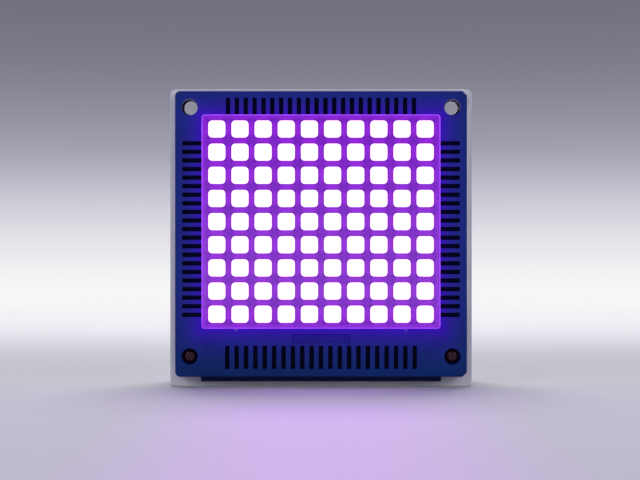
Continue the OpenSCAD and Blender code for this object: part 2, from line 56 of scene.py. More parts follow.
# %% Measures of the module
MM = 0.001
FACE = -15.6  # where the blue face lies along Y
PITCH = 7.62  # from one dot to the next
COLUMNS, ROWS = 10, 9
DOT, DOT_ROUND = 5.7, 1.3
COVER = (78.5, 70.4)  # width and height
COVER_MID = 54.45  # height of its middle
COVER_DEPTHS = (-0.8, 1.2)  # it stands proud of the blue face
HOUSING_X, HOUSING_Z = 48.0, (3.4, 97.4)
HOUSING_T = 5.5
WINDOW = (76.5, 68.4)  # the opening behind the cover
HOLE_X, HOLES_Z = 43.2, (10.1, 92.1)
CASE_X, CASE_TOP, CASE_BACK = 50.0, 98.4, 32.0
COVER_Z = (COVER_MID - COVER[1] / 2, COVER_MID + COVER[1] / 2)
FIRST_DOT = -(COLUMNS - 1) / 2 * PITCH
TOP_ROW = COVER_MID + (ROWS - 1) / 2 * PITCH
print("dots span", round((COLUMNS - 1) * PITCH + DOT, 2), "mm across")

# %% [markdown]
# ## A small tool box
# Modelling by hand is: add a primitive, select some of its edges or faces, and work on
# them. These helpers do the same steps in code. Everything is deselected before each
# one, because an operator acts on all that is selected.


# %% Helpers that place and select
def deselect():
    bpy.ops.object.select_all(action="DESELECT")


def only(piece):
    """Makes one piece the selected and active one."""
    deselect()
    piece.select_set(True)
    bpy.context.view_layer.objects.active = piece


def finish_primitive(name):
    """Names a new primitive and fixes its size and place in its mesh."""
    bpy.ops.object.transform_apply(location=True, rotation=True, scale=True)
    piece = bpy.context.object
    piece.name = piece.data.name = name
    return piece


def around(middle, width):
    """The low and high end of a stretch, from its middle."""
    return middle - width / 2, middle + width / 2


def block(name, xs, depths, zs):
    """A box between two corners, each given as (low, high)."""
    deselect()
    spans = (xs, [d + FACE for d in depths], zs)
    bpy.ops.mesh.primitive_cube_add(size=1, location=[sum(s) / 2 * MM for s in spans])
    bpy.context.object.scale = [(s[1] - s[0]) * MM for s in spans]
    return finish_primitive(name)


def rod(name, x, z, diameter, depths, sides=48, turn=0.0):
    """A round or many-sided bar that runs front to back."""
    deselect()
    bpy.ops.mesh.primitive_cylinder_add(
        vertices=sides,
        radius=diameter / 2 * MM,
        depth=(depths[1] - depths[0]) * MM,
        location=(x * MM, (sum(depths) / 2 + FACE) * MM, z * MM),
        rotation=(math.pi / 2, turn, 0),
    )
    return finish_primitive(name)


def spot(co):
    """A mesh point as (x, depth, z) in millimetres."""
    return co.x / MM, co.y / MM - FACE, co.z / MM


def same(a, b, slack=0.01):
    return abs(a - b) < slack


def choose_edges(piece, test):
    """Selects the edges whose two ends pass the test, and leaves the piece in edit mode."""
    only(piece)
    bpy.ops.object.mode_set(mode="EDIT")
    bpy.ops.mesh.select_mode(type="EDGE")
    bpy.ops.mesh.select_all(action="DESELECT")
    bpy.ops.object.mode_set(mode="OBJECT")
    points = [spot(v.co) for v in piece.data.vertices]
    for edge in piece.data.edges:
        edge.select = bool(test(*[points[i] for i in edge.vertices]))
    bpy.ops.object.mode_set(mode="EDIT")


def choose_faces(piece, test):
    """Selects the faces whose middle and normal pass the test, in edit mode."""
    only(piece)
    bpy.ops.object.mode_set(mode="EDIT")
    bpy.ops.mesh.select_mode(type="FACE")
    bpy.ops.mesh.select_all(action="DESELECT")
    bpy.ops.object.mode_set(mode="OBJECT")
    for face in piece.data.polygons:
        face.select = bool(test(spot(face.center), face.normal))
    bpy.ops.object.mode_set(mode="EDIT")


def runs_back(a, b):
    """True for an edge that runs front to back."""
    return same(a[0], b[0]) and same(a[2], b[2]) and not same(a[1], b[1])


def lies_at(depth):
    """A test for the edges of the face at one depth."""
    return lambda a, b: same(a[1], depth) and same(b[1], depth)


def round_off(piece, test, width, segments=4):
    """Bevels the chosen edges."""
    choose_edges(piece, test)
    bpy.ops.mesh.bevel(
        offset=width * MM, segments=segments, profile=0.5, affect="EDGES"
    )
    bpy.ops.object.mode_set(mode="OBJECT")
    return piece


# %% Helpers that repeat, cut and soften
def apply_last(piece):
    only(piece)
    bpy.ops.object.modifier_apply(modifier=piece.modifiers[-1].name)


def repeat(piece, count, x=0.0, z=0.0):
    """Copies a piece in an even row, all in its own mesh."""
    only(piece)
    bpy.ops.object.modifier_add(type="ARRAY")
    row = piece.modifiers[-1]
    row.count = count
    row.use_relative_offset = False
    row.use_constant_offset = True
    row.constant_offset_displace = (x * MM, 0, z * MM)
    apply_last(piece)
    return piece


def combine(piece, tool, how="DIFFERENCE"):
    """Cuts a tool out of a piece, or adds it, and throws the tool away."""
    only(piece)
    bpy.ops.object.modifier_add(type="BOOLEAN")
    step = piece.modifiers[-1]
    step.operation, step.object, step.solver = how, tool, "EXACT"
    apply_last(piece)
    bpy.data.meshes.remove(tool.data)
    return piece


def add_to(piece, tool):
    return combine(piece, tool, "UNION")


def soften(piece, width=0.1, segments=2, sharp=35):
    """Gives every sharp edge the small radius that a mould leaves, then smooth shading."""
    only(piece)
    bpy.ops.object.mode_set(mode="EDIT")
    bpy.ops.mesh.select_all(action="SELECT")
    bpy.ops.mesh.remove_doubles(threshold=0.002 * MM)
    bpy.ops.mesh.dissolve_limited(angle_limit=math.radians(0.5))
    bpy.ops.object.mode_set(mode="OBJECT")
    if width:
        bpy.ops.object.modifier_add(type="BEVEL")
        edge = piece.modifiers[-1]
        edge.width, edge.segments = width * MM, segments
        edge.limit_method, edge.angle_limit = "ANGLE", math.radians(sharp)
        edge.use_clamp_overlap = False
        apply_last(piece)
    bpy.ops.object.shade_smooth_by_angle(angle=math.radians(40))
    bpy.ops.object.modifier_add(type="WEIGHTED_NORMAL")
    piece.modifiers[-1].keep_sharp = True
    apply_last(piece)
    return piece


def hand_over(piece, material, slot, *nodes):
    """Gives a finished piece its material and its place in the model."""
    if not piece.data.materials:
        piece.data.materials.append(material)
    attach(piece, "root")
    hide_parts(*nodes)
    print(piece.name, "has", len(piece.data.polygons), "faces")
    return piece


# %% [markdown]
# ## Material tool box
# Procedural materials are small sums over the place of a point on the object. Object
# coordinates are in metres and stay fixed to the piece, so a pattern can follow the
# dot pitch exactly. Painting a UV map would do the same with far more work.


# %% Helpers for node materials
def feed(tree, value, socket):
    """Links an output to a socket, or writes a plain value on it."""
    if isinstance(value, bpy.types.NodeSocket):
        tree.links.new(value, socket)
    else:
        socket.default_value = value


def calc(tree, operation, *values, clamp=False):
    node = tree.nodes.new("ShaderNodeMath")
    node.operation, node.use_clamp = operation, clamp
    for value, socket in zip(values, node.inputs):
        feed(tree, value, socket)
    return node.outputs[0]


def place(tree):
    """x, depth and z of the shaded point in millimetres."""
    coords = tree.nodes.new("ShaderNodeTexCoord").outputs["Object"]
    parts = tree.nodes.new("ShaderNodeSeparateXYZ")
    tree.links.new(coords, parts.inputs[0])
    x, y, z = [calc(tree, "MULTIPLY", axis, 1 / MM) for axis in parts.outputs]
    return x, calc(tree, "SUBTRACT", y, FACE), z


def ease(tree, value, start, end, low=0.0, high=1.0):
    """Goes smoothly from low at start to high at end."""
    node = tree.nodes.new("ShaderNodeMapRange")
    node.interpolation_type = "SMOOTHSTEP"
    for amount, socket in zip((value, start, end, low, high), node.inputs):
        feed(tree, amount, socket)
    return node.outputs[0]


def blend(tree, factor, first, second, mode="MIX"):
    """Mixes two colours, each a triple or an output."""
    node = tree.nodes.new("ShaderNodeMix")
    node.data_type, node.blend_type = "RGBA", mode
    feed(tree, factor, node.inputs[0])
    for value, socket in ((first, node.inputs[6]), (second, node.inputs[7])):
        feed(tree, (*value, 1) if isinstance(value, tuple) else value, socket)
    return node.outputs[2]


def grain(tree, size, detail=2.0):
    """Soft noise whose blotches are about this many millimetres wide, from 0 to 1."""
    node = tree.nodes.new("ShaderNodeTexNoise")
    coords = tree.nodes.new("ShaderNodeTexCoord").outputs["Object"]
    tree.links.new(coords, node.inputs["Vector"])
    node.inputs["Scale"].default_value = 1 / (size * MM)
    node.inputs["Detail"].default_value = detail
    return node.outputs["Fac"]


def relief(tree, shader, height, depth):
    """Bumps the surface by a height map that is this many millimetres deep."""
    node = tree.nodes.new("ShaderNodeBump")
    node.inputs["Distance"].default_value = depth * MM
    tree.links.new(height, node.inputs["Height"])
    tree.links.new(node.outputs[0], shader.inputs["Normal"])


def new_finish(name, roughness=0.5, **sockets):
    """A material and its Principled shader, with fixed values written on the sockets."""
    material = bpy.data.materials.new(name)
    material.use_nodes = True
    shader = material.node_tree.nodes["Principled BSDF"]
    shader.inputs["Roughness"].default_value = roughness
    for key, value in sockets.items():
        shader.inputs[key.replace("_", " ").title()].default_value = value
    return material, material.node_tree, shader


# %% [markdown]
# ## Blue moulded plastic
# The frame is satin blue plastic with a very fine moulded grain. Next to the window
# the lit dots flood it with violet, and that light fades within a few millimetres.
# A lamp inside a scene could light it, but the real light travels inside the plastic
# and through the cover's edge, so the glow is painted into the material by the
# distance from the cover instead, as a violet tint in the base colour and as emission.
# Inside the slots the glow ends after two millimetres, and further back the base
# colour darkens to a deep blue, which is painted shade.


# %% Blue plastic
def away_from_cover(tree, x, z):
    """Distance outside the cover's outline, in millimetres."""
    steps = []
    for axis, middle, reach in ((x, 0.0, COVER[0] / 2), (z, COVER_MID, COVER[1] / 2)):
        offset = calc(tree, "ABSOLUTE", calc(tree, "SUBTRACT", axis, middle))
        steps.append(calc(tree, "MAXIMUM", calc(tree, "SUBTRACT", offset, reach), 0.0))
    squares = [calc(tree, "MULTIPLY", step, step) for step in steps]
    return calc(tree, "SQRT", calc(tree, "ADD", *squares))


def blue_plastic():
    material, tree, shader = new_finish("blue_moulded_plastic", 0.42)
    x, depth, z = place(tree)
    away = away_from_cover(tree, x, z)
    glow = calc(tree, "EXPONENT", calc(tree, "MULTIPLY", away, -1 / 4.4))
    at_front = ease(tree, depth, 2.4, 0.6)
    shown = calc(tree, "MULTIPLY", glow, at_front)
    blotch = ease(tree, grain(tree, 14.0, 3.0), 0.3, 0.7, 0.88, 1.1)
    # The base colour turns violet with the glow: painted light next to the window.
    plain = blend(tree, glow, (0.0, 0.030, 0.155), (0.012, 0.004, 0.17))
    # Further back from the face the base colour darkens to deep blue: painted shade in the
    # slots and other recesses. The blotches multiplied in next are the plastic's own tone.
    slot_painted_shade = blend(tree, ease(tree, depth, 0.3, 2.0), plain, (0.001, 0.004, 0.10))
    blotched_with_painted_shade = blend(tree, 1.0, slot_painted_shade, grey(tree, blotch), "MULTIPLY")
    # The low ledge under the frame's bottom edge is painted near black: painted shade under
    # the overhang.
    low = calc(tree, "MULTIPLY", ease(tree, z, 3.6, 3.2), ease(tree, depth, 1.2, 1.8))
    ledge = blend(tree, low, blotched_with_painted_shade, (0.002, 0.003, 0.045))
    feed(tree, ledge, shader.inputs["Base Color"])
    # The seat and window walls right beside the cover's edge get a brighter violet emission:
    # painted light from the cover's rim.
    under_rim = calc(
        tree, "MULTIPLY", ease(tree, away, 0.14, 0.02), ease(tree, depth, 5.0, 1.4)
    )
    seat = calc(tree, "MULTIPLY", under_rim, ease(tree, depth, 0.6, 1.0))
    light = blend(tree, seat, (0.026, 0.0, 0.32), (0.23, 0.004, 0.56))
    feed(tree, light, shader.inputs["Emission Color"])
    feed(tree, calc(tree, "MAXIMUM", shown, seat), shader.inputs["Emission Strength"])
    shader.inputs["Specular IOR Level"].default_value = 0.12
    fine = grain(tree, 0.35, 3.0)
    feed(tree, ease(tree, fine, 0.2, 0.8, 0.36, 0.5), shader.inputs["Roughness"])
    relief(tree, shader, fine, 0.012)
    return material


def grey(tree, value):
    """A grey colour from one number."""
    node = tree.nodes.new("ShaderNodeCombineColor")
    for socket in node.inputs:
        feed(tree, value, socket)
    return node.outputs[0]


BLUE = blue_plastic()

# %% [markdown]
# ## Front housing
# On the real part this is one moulding: a plate with rounded left and chamfered right
# corners, a stepped window, 85 slots and four corner holes. We start from a box,
# bevel its corners, and then cut with tools that are themselves bevelled boxes. One
# slot is modelled and repeated with an Array, because the slots are all alike.

# %% Housing plate, ledge, posts and lip
housing = block("blue_housing", (-HOUSING_X, HOUSING_X), (0, HOUSING_T), HOUSING_Z)
round_off(housing, lambda a, b: runs_back(a, b) and a[0] < 0, 1.7, 6)
round_off(housing, lambda a, b: runs_back(a, b) and same(a[0], HOUSING_X), 1.5, 1)
round_off(housing, lies_at(0), 0.4, 3)
LEDGE_W, LEDGE_LOW = 79.2, 1.8
add_to(housing, block("ledge", around(0, LEDGE_W), (2, HOUSING_T), (LEDGE_LOW, 4.0)))

POST, POST_BORE, POST_END = 4.6, 2.1, 8.2
BOARD_SCREWS = [(x, z) for x in (-34.5, 34.5) for z in (17.75, 91.15)]
for x, z in BOARD_SCREWS:
    add_to(housing, rod("post", x, z, POST, (5.0, POST_END)))

lip = block("lip", (-46.3, 46.3), (5.0, 7.5), (5.1, 95.7))
combine(lip, block("inside", (-45.1, 45.1), (4, 8), (6.3, 94.5)))
for side in (-1, 1):
    xs = sorted((side * 38.5, side * 47))
    combine(lip, block("boss_room", xs, (4, 8), (4.9, 14.8)))
    combine(lip, block("boss_room", xs, (4, 8), (87.4, 96)))
add_to(housing, lip)

# %% [markdown]
# The raised marks in the lower corners are a plain triangle and three slanting bars.
# Prisms that sink into the face are enough: the union removes what is inside.

# %% Raised marks
MARK_Z, BAR_GAP, SLANT = 14.6, 1.6, math.radians(40)
add_to(housing, rod("triangle", 39, MARK_Z, 2 * math.sqrt(3), (-0.3, 1), 3, math.pi / 2))
for step in (-1, 0, 1):
    bar = block("bar", (-0.35, 0.35), (-0.3, 1), (-1.3, 1.3))
    only(bar)
    bar.rotation_euler = (0, SLANT, 0)
    x = -38.1 + step * BAR_GAP * math.cos(SLANT)
    z = MARK_Z - step * BAR_GAP * math.sin(SLANT)
    bar.location = (x * MM, 0, z * MM)
    bpy.ops.object.transform_apply(location=True, rotation=True, scale=True)
    add_to(housing, bar)

# %% Window, seat and pocket
SEAT_GAP = 0.1
seat = block(
    "seat",
    around(0, COVER[0] + 2 * SEAT_GAP),
    (-1, COVER_DEPTHS[1]),
    around(COVER_MID, COVER[1] + 2 * SEAT_GAP),
)
round_off(seat, runs_back, 1.1, 5)
combine(housing, seat)
combine(housing, block("window", around(0, WINDOW[0]), (-1, 9), around(COVER_MID, WINDOW[1])))
pocket = block("pocket", (-9.65, 9.65), (-1, 1), (14.5, 17.5))
round_off(pocket, runs_back, 0.3, 3)
combine(housing, pocket)


# %% Notches for the cover's two tabs
TAB_X, TAB_W = 27.8, 1.8


def tab(name, x, gap, depths):
    """A pointed tab under the cover, or the tool for its notch."""
    zs = (COVER_Z[0] - gap, COVER_Z[0] + 0.5)
    piece = block(name, around(x, TAB_W + 2 * gap), depths, zs)
    choose_faces(piece, lambda middle, normal: normal.z < -0.9)
    bpy.ops.mesh.extrude_region_move(
        TRANSFORM_OT_translate={"value": (0, 0, -1.0 * MM)}
    )
    bpy.ops.transform.resize(value=(0.02, 1, 1), center_override=(x * MM, 0, 0))
    bpy.ops.object.mode_set(mode="OBJECT")
    return piece


for side in (-1, 1):
    combine(housing, tab("notch", side * TAB_X, SEAT_GAP, (-1, COVER_DEPTHS[1])))


# %% Slots
SLOT, SLOT_BACK = 1.45, 4.5


def slots(name, count, first, step, size):
    """A row of tools, from the first one's middle, the step to the next and the size."""
    tool = block(name, around(first[0], size[0]), (-1, SLOT_BACK), around(first[1], size[1]))
    round_off(tool, runs_back, 0.25, 2)
    return repeat(tool, count, *step)


combine(housing, slots("slots_top", 22, (-30.56, 92.425), (2.9105, 0), (SLOT, 5.55)))
combine(housing, slots("slots_bottom", 21, (-30.8, 9.8), (3.08, 0), (SLOT, 7.6)))
for side in (-1, 1):
    combine(housing, slots("slots_side", 21, (side * 42.45, 23.8), (0, 2.82), (6.4, SLOT)))

# %% Holes, then the moulded edge radius
CORNER_HOLE, SHANK_HOLE = 5.4, 3.5
for side in (-1, 1):
    combine(housing, rod("hole", side * HOLE_X, HOLES_Z[1], CORNER_HOLE, (-1, 9)))
    combine(housing, rod("recess", side * HOLE_X, HOLES_Z[0], CORNER_HOLE, (-1, 3)))
    combine(housing, rod("hole", side * HOLE_X, HOLES_Z[0], SHANK_HOLE, (-1, 9)))
for x, z in BOARD_SCREWS:
    combine(housing, rod("thread", x, z, POST_BORE, (4.3, 9)))
soften(housing, 0.1)
hand_over(housing, BLUE, "blue_plastic", "front_housing")

# %% [markdown]
# ## Clear cover
# A polished clear plate with rounded corners and a bevelled rim. Light from the dots
# is trapped in it and leaves at the rim, which draws a thin lilac line. Glass in
# Cycles blocks the rays that look for lamps, so those pass through a Transparent
# shader instead, and the dots can light the floor. The rim faces get a second
# material.


# %% Cover materials
def clear_plastic():
    material, tree, shader = new_finish("clear_cover", 0.03, transmission_weight=1.0)
    shader.inputs["IOR"].default_value = 1.49
    shader.inputs["Specular IOR Level"].default_value = 0.25
    feed(tree, (0.97, 0.95, 1.0, 1), shader.inputs["Base Color"])
    paths = tree.nodes.new("ShaderNodeLightPath").outputs
    through = tree.nodes.new("ShaderNodeBsdfTransparent")
    through.inputs[0].default_value = (0.96, 0.93, 1.0, 1)
    choice = tree.nodes.new("ShaderNodeMixShader")
    unhindered = calc(tree, "MAXIMUM", paths["Is Shadow Ray"], paths["Is Diffuse Ray"])
    feed(tree, unhindered, choice.inputs[0])
    tree.links.new(shader.outputs[0], choice.inputs[1])
    tree.links.new(through.outputs[0], choice.inputs[2])
    tree.links.new(choice.outputs[0], tree.nodes["Material Output"].inputs[0])
    feed(tree, ease(tree, grain(tree, 6.0), 0.3, 0.7, 0.02, 0.05), shader.inputs["Roughness"])
    return material


def lit_rim():
    material, tree, shader = new_finish("cover_rim", 0.25)
    x, _, z = place(tree)
    feed(tree, (0.22, 0.05, 0.5, 1), shader.inputs["Base Color"])
    near_dot = calc(tree, "MINIMUM", from_dot(tree, x, 0.0), from_dot(tree, z, 0.5))
    feed(tree, (0.30, 0.045, 0.80, 1), shader.inputs["Emission Color"])
    strength = ease(tree, near_dot, 0.5, 3.6, 1.05, 0.75)
    feed(tree, strength, shader.inputs["Emission Strength"])
    return material


def from_dot(tree, axis, phase):
    """Distance along one axis from the nearest dot's middle, in millimetres."""
    start = calc(tree, "SUBTRACT", axis, COVER_MID if phase else 0.0)
    turns = calc(tree, "ADD", calc(tree, "MULTIPLY", start, 1 / PITCH), phase)
    part = calc(tree, "SUBTRACT", calc(tree, "FRACT", turns), 0.5)
    return calc(tree, "MULTIPLY", calc(tree, "ABSOLUTE", part), PITCH)


CLEAR = clear_plastic()
RIM = lit_rim()

# %% Cover plate with its tabs
cover = block("clear_cover", around(0, COVER[0]), COVER_DEPTHS, COVER_Z)
round_off(cover, runs_back, 1.0, 5)
round_off(cover, lies_at(COVER_DEPTHS[0]), 0.4, 2)
for side in (-1, 1):
    add_to(cover, tab("tab", side * TAB_X, 0.0, (0.02, 1.18)))
soften(cover, 0)
cover.data.materials.append(CLEAR)
cover.data.materials.append(RIM)
for face in cover.data.polygons:
    face.material_index = 0 if abs(face.normal.y) > 0.98 else 1
hand_over(cover, CLEAR, "clear_cover", "cover_lens")

# %% [markdown]
# ## Reflector
# Behind the cover a moulded plate keeps each dot's light in its own well. Its face is
# what shows between the dots. It glows violet, brightest halfway between two dots and
# darkest where four corners meet. The distance to the nearest dot, found from the
# pitch, gives that pattern for all ninety wells at once.


# %% Reflector plastic
def violet_reflector():
    material, tree, shader = new_finish("reflector_plastic", 0.5)
    x, _, z = place(tree)
    u, v = from_dot(tree, x, 0.0), from_dot(tree, z, 0.5)
    crossing = ease(tree, calc(tree, "MINIMUM", u, v), 0.8, 3.4)
    lit = blend(tree, crossing, (0.255, 0.006, 0.60), (0.165, 0.0, 0.46))
    # Emission drops to 0.72 inside each well and in a thin band around it: painted shade
    # along each dot's edge.
    beside = ease(tree, calc(tree, "MAXIMUM", u, v), 2.8, 3.5, 0.72, 1.0)
    mottle = ease(tree, grain(tree, 2.2), 0.3, 0.7, 0.94, 1.06)
    feed(tree, (0.05, 0.001, 0.12, 1), shader.inputs["Base Color"])
    shader.inputs["Specular IOR Level"].default_value = 0.2
    feed(tree, lit, shader.inputs["Emission Color"])
    feed(tree, calc(tree, "MULTIPLY", beside, mottle), shader.inputs["Emission Strength"])
    relief(tree, shader, grain(tree, 0.4), 0.01)
    return material


REFLECT = violet_reflector()


# %% Reflector plate with ninety wells
def grid_of(tool):
    """Repeats a tool made at the first dot over the whole grid."""
    return repeat(repeat(tool, COLUMNS, x=PITCH), ROWS, z=-PITCH)


def dot_block(name, size, depths):
    """A box of this side at the top left dot."""
    return block(name, around(FIRST_DOT, size), depths, around(TOP_ROW, size))


PLATE_GAP, PLATE_BACK, WELL_BACK, CHAMBER = 0.1, 8.2, 5.2, 4.4
reflector = block(
    "violet_reflector",
    around(0, WINDOW[0] - 2 * PLATE_GAP),
    (COVER_DEPTHS[1], PLATE_BACK),
    around(COVER_MID, WINDOW[1] - 2 * PLATE_GAP),
)
well = round_off(dot_block("wells", DOT, (0, WELL_BACK)), runs_back, DOT_ROUND, 3)
combine(reflector, grid_of(well))
combine(reflector, grid_of(dot_block("chambers", CHAMBER, (5.0, 9))))
soften(reflector, 0.08, 1)
hand_over(reflector, REFLECT, "reflector_plastic", "reflector")

# %% [markdown]
# ## Lit dots
# Each dot is a small milky block with round corners and a pillow edge. When it is lit
# the camera sees plain white, with a violet tinge at its edge only. The material is
# brighter than white in blue and red, so that the light it throws is violet.


# %% Lit diffuser
def lit_diffuser():
    material, tree, shader = new_finish("lit_diffuser", 0.35)
    x, depth, z = place(tree)
    corners = 5.0
    sides = [
        calc(tree, "POWER", calc(tree, "MULTIPLY", from_dot(tree, a, p), 2 / DOT), corners)
        for a, p in ((x, 0.0), (z, 0.5))
    ]
    outward = calc(tree, "POWER", calc(tree, "ADD", *sides), 1 / corners)
    rim = ease(tree, outward, 0.92, 1.0)
    behind = ease(tree, depth, 1.5, 2.4)
    faded = calc(tree, "MAXIMUM", rim, behind)
    cloud = ease(tree, grain(tree, 1.5), 0.25, 0.75, 0.95, 1.05)
    feed(tree, (0.86, 0.8, 0.95, 1), shader.inputs["Base Color"])
    light = blend(tree, faded, (2.0, 1.15, 3.1), (0.85, 0.5, 1.0))
    feed(tree, light, shader.inputs["Emission Color"])
    feed(tree, cloud, shader.inputs["Emission Strength"])
    return material


DIFFUSER = lit_diffuser()

# %% Nine rows of ten dots
DOT_GAP, DOT_FRONT = 0.05, 1.25
for row in range(ROWS):
    xs = around(FIRST_DOT, DOT - 2 * DOT_GAP)
    zs = around(TOP_ROW - row * PITCH, DOT - 2 * DOT_GAP)
    dots = block(f"lit_dots_{row + 1}", xs, (DOT_FRONT, WELL_BACK), zs)
    round_off(dots, runs_back, DOT_ROUND - DOT_GAP, 5)
    round_off(dots, lies_at(DOT_FRONT), 0.3, 3)
    repeat(dots, COLUMNS, x=PITCH)
    soften(dots, 0)
    hand_over(dots, DIFFUSER, "lit_diffuser", f"dot_row_{row + 1}")

# %% [markdown]
# ## Fixing screws
# Two dark maroon screws sit in the lower corner recesses. Each is a cylinder whose
# top edge is bevelled into a dome, with a cross recess pressed into it.


# %% Maroon enamel
def maroon_enamel():
    material, tree, shader = new_finish("maroon_enamel", 0.22, metallic=0.25)
    wear = ease(tree, grain(tree, 0.5, 3.0), 0.35, 0.75)
    red = blend(tree, wear, (0.030, 0.0015, 0.010), (0.050, 0.004, 0.016))
    feed(tree, red, shader.inputs["Base Color"])
    feed(tree, ease(tree, wear, 0, 1, 0.18, 0.34), shader.inputs["Roughness"])
    relief(tree, shader, grain(tree, 0.25), 0.006)
    return material


MAROON = maroon_enamel()

# %% Two domed screws
HEAD, HEAD_FRONT, SHANK, SHANK_END = 4.3, 1.5, 2.9, 17.0
for side, word in ((-1, "left"), (1, "right")):
    x, z = side * HOLE_X, HOLES_Z[0]
    screw = rod(f"fixing_screw_{word}", x, z, HEAD, (HEAD_FRONT, 3.0))
    round_off(screw, lies_at(HEAD_FRONT), 1.05, 6)
    for wide, tall in ((2.4, 0.6), (0.6, 2.4)):
        combine(screw, block("cross", around(x, wide), (0, 2.3), around(z, tall)))
    shank = rod("shank", x, z, SHANK, (2.8, SHANK_END))
    round_off(shank, lies_at(SHANK_END), 0.7, 1)
    add_to(screw, shank)
    soften(screw, 0.05, 1)
    hand_over(screw, MAROON, "maroon_steel", "fixing_screws")

# %% [markdown]
# ## Rear case
# The pale case is a deep tray: rounded corners, a bevelled back, thin walls, a bay for
# the plug and nine vents. Its two upper corners are notched, so the mounting holes run
# through ears only six millimetres thick. It is built the way it is moulded: an outer
# block, a hollow, then bosses added and holes cut.


# %% Milky plastic
def milky_plastic():
    material, tree, shader = new_finish("milky_plastic", 0.45)
    cloud = ease(tree, grain(tree, 9.0, 3.0), 0.3, 0.7)
    milk = blend(tree, cloud, (0.74, 0.735, 0.82), (0.81, 0.805, 0.88))
    feed(tree, milk, shader.inputs["Base Color"])
    fine = grain(tree, 0.4, 3.0)
    feed(tree, ease(tree, fine, 0.2, 0.8, 0.38, 0.52), shader.inputs["Roughness"])
    relief(tree, shader, fine, 0.012)
    return material


MILKY = milky_plastic()

# %% Shell
INSIDE_BACK, VENTS, VENT_STEP = 29.5, 9, 6.0
case = block("milky_case", (-CASE_X, CASE_X), (HOUSING_T, CASE_BACK), (0, CASE_TOP))
round_off(case, runs_back, 2.0, 6)
round_off(case, lies_at(CASE_BACK), 1.2, 3)
combine(case, block("hollow", (-46.5, 46.5), (5, INSIDE_BACK), (4.9, 95.9)))
vents = block("vents", (-25.2, -22.8), (20, 34), (58.4, 84.4))
round_off(vents, runs_back, 1.0, 4)
combine(case, repeat(vents, VENTS, x=VENT_STEP))

# %% Corner bosses and ears
BOSS, BOSS_BACK, EAR_BACK = 9, 30.0, 11.5
for side in (-1, 1):
    for z, reach, depth in ((HOLES_Z[0], -5.2, BOSS_BACK), (HOLES_Z[1], 3.8, EAR_BACK)):
        up = math.copysign(1, reach)
        add_to(case, rod("boss", side * HOLE_X, z, BOSS, (HOUSING_T, depth)))
        over = abs(reach) + 0.5
        for wide, tall in (((-4.5, 3.8), (0.0, over)), ((0.0, 3.8), (-4.5, over))):
            xs = sorted(side * (HOLE_X + w) for w in wide)
            zs = sorted(z + up * t for t in tall)
            add_to(case, block("tie", xs, (HOUSING_T, depth), zs))
    xs = sorted((side * (HOLE_X - 6.5), side * 47.0))
    add_to(case, block("notch_wall", xs, (10.0, BOSS_BACK), (HOLES_Z[1] - 6.5, 96.4)))

# %% Plug bay, notches and bores
BAY, BAY_Z, BAY_WALL = (24.16, 13.14), 27.45, 1.5
wide, tall = [size + 2 * BAY_WALL for size in BAY]
add_to(case, block("bay_wall", around(0, wide), (10.3, BOSS_BACK), around(BAY_Z, tall)))
bay = block("bay", around(0, BAY[0]), (9.8, 34), around(BAY_Z, BAY[1]))
round_off(bay, runs_back, 0.6, 3)
combine(case, bay)
NOTCH, MOUNT_BORE, SCREW_BORE = 4.5, 4.4, 3.0
for side in (-1, 1):
    xs = sorted((side * (HOLE_X - NOTCH), side * 60))
    notch = block("notch", xs, (EAR_BACK, 34), (HOLES_Z[1] - NOTCH, 110))
    round_off(notch, lambda a, b: runs_back(a, b) and abs(a[0]) < 45 and a[2] < 90, 0.8, 3)
    combine(case, notch)
    combine(case, rod("mounting_bore", side * HOLE_X, HOLES_Z[1], MOUNT_BORE, (5, 12)))
    combine(case, rod("screw_bore", side * HOLE_X, HOLES_Z[0], SCREW_BORE, (5, 18)))
soften(case, 0.15)
hand_over(case, MILKY, "milky_plastic", "rear_case")


# %% [markdown]
# ## Electronics
# The circuit board and its parts only show through the vents and in the plug bay. Their
# exact solids are already right, so they keep their meshes and get real finishes:
# green laminate, black epoxy, gilt pins and a bare aluminium can.


# %% Finishes for the electronics
def speckled(name, dark, light, size, roughness, bump, **sockets):
    """A finish whose colour and gloss wander a little between two shades."""
    material, tree, shader = new_finish(name, roughness, **sockets)
    spread = ease(tree, grain(tree, size, 3.0), 0.3, 0.7)
    feed(tree, blend(tree, spread, dark, light), shader.inputs["Base Color"])
    gloss = ease(tree, spread, 0, 1, roughness * 0.85, roughness * 1.15)
    feed(tree, gloss, shader.inputs["Roughness"])
    relief(tree, shader, grain(tree, size / 4), bump)
    return material


ELECTRONICS = {
    "led_package": speckled(
        "led_package", (0.80, 0.78, 0.70), (0.88, 0.86, 0.80), 1.0, 0.35, 0.004
    ),
    "circuit_board": speckled(
        "board_laminate", (0.008, 0.09, 0.03), (0.012, 0.13, 0.045), 2.0, 0.3, 0.006
    ),
    "column_driver": speckled(
        "chip_epoxy", (0.012, 0.012, 0.013), (0.022, 0.022, 0.024), 0.8, 0.5, 0.008
    ),
    "ceramic": speckled(
        "ceramic_body", (0.36, 0.24, 0.13), (0.45, 0.31, 0.18), 0.8, 0.45, 0.006
    ),
    "electrolytic": speckled(
        "can_aluminium", (0.55, 0.56, 0.58), (0.68, 0.69, 0.71), 1.5, 0.3, 0.004, metallic=1.0
    ),
    "shroud": speckled(
        "black_plastic", (0.010, 0.010, 0.011), (0.018, 0.018, 0.020), 1.0, 0.45, 0.008
    ),
    "pins": speckled(
        "gilt_pin", (0.75, 0.50, 0.17), (0.86, 0.62, 0.26), 0.6, 0.22, 0.003, metallic=1.0
    ),
    "board_screws": speckled(
        "bright_steel", (0.50, 0.50, 0.52), (0.62, 0.62, 0.64), 0.6, 0.28, 0.004, metallic=1.0
    ),
}
